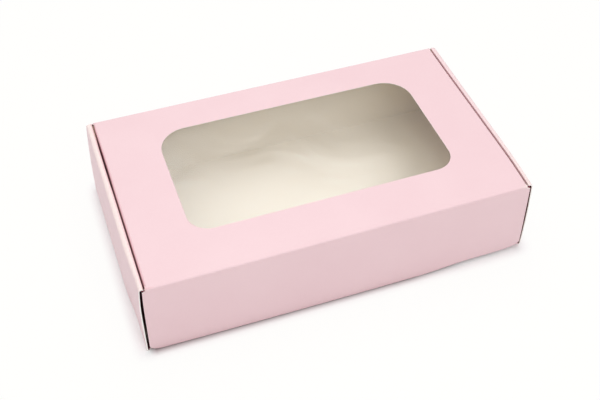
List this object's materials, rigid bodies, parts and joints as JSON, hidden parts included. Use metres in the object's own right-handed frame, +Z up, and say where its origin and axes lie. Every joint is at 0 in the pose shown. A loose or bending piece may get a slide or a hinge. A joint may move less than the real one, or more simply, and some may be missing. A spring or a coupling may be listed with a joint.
{
  "type": "window bakery box",
  "caption": "Folding board box for cannoli, closed: a rolled-side tray, a lid hinged at the back with a clear window, and a flap that hangs over the front.",
  "frame": {"origin": "middle of the footprint, on the surface that the box stands on", "axes": "+Z up, +X along the width to the right as seen from the front, -Y towards the front, where the lid's flap hangs"},
  "size_m": [0.25, 0.148, 0.0585],
  "materials": {
    "pink_board": "matt coated board, pale pink outside",
    "plain_board": "uncoated off-white board",
    "window_film": "thin clear film"
  },
  "bodies": {
    "tray": {"base_panel": "plain_board", "front_wall": "pink_board", "back_wall": "pink_board", "side_outer_left": "pink_board", "side_outer_right": "pink_board", "ridge_left": "pink_board", "ridge_right": "pink_board", "side_inner_left": "pink_board", "side_inner_right": "pink_board", "corner_flap_front_left": "plain_board", "corner_flap_front_right": "plain_board", "corner_flap_back_left": "plain_board", "corner_flap_back_right": "plain_board"},
    "lid": {"lid_panel": "pink_board", "window_film": "window_film"},
    "front_flap": {"front_flap": "pink_board"},
    "dust_flap_left": {"dust_flap_left": "plain_board"},
    "dust_flap_right": {"dust_flap_right": "plain_board"}
  },
  "joints": [
    {"name": "lid_hinge", "type": "hinge", "parent": "tray", "child": "lid", "pos_m": [0, 0.0735, 0.058], "axis": [-1, 0, 0], "range_deg": [0, 180]},
    {"name": "front_flap_hinge", "type": "hinge", "parent": "lid", "child": "front_flap", "pos_m": [0, -0.0735, 0.058], "axis": [-1, 0, 0], "range_deg": [0, 120]},
    {"name": "dust_flap_left_hinge", "type": "hinge", "parent": "lid", "child": "dust_flap_left", "pos_m": [-0.1209, 0, 0.058], "axis": [0, -1, 0], "range_deg": [0, 85]},
    {"name": "dust_flap_right_hinge", "type": "hinge", "parent": "lid", "child": "dust_flap_right", "pos_m": [0.1209, 0, 0.058], "axis": [0, 1, 0], "range_deg": [0, 85]}
  ]
}
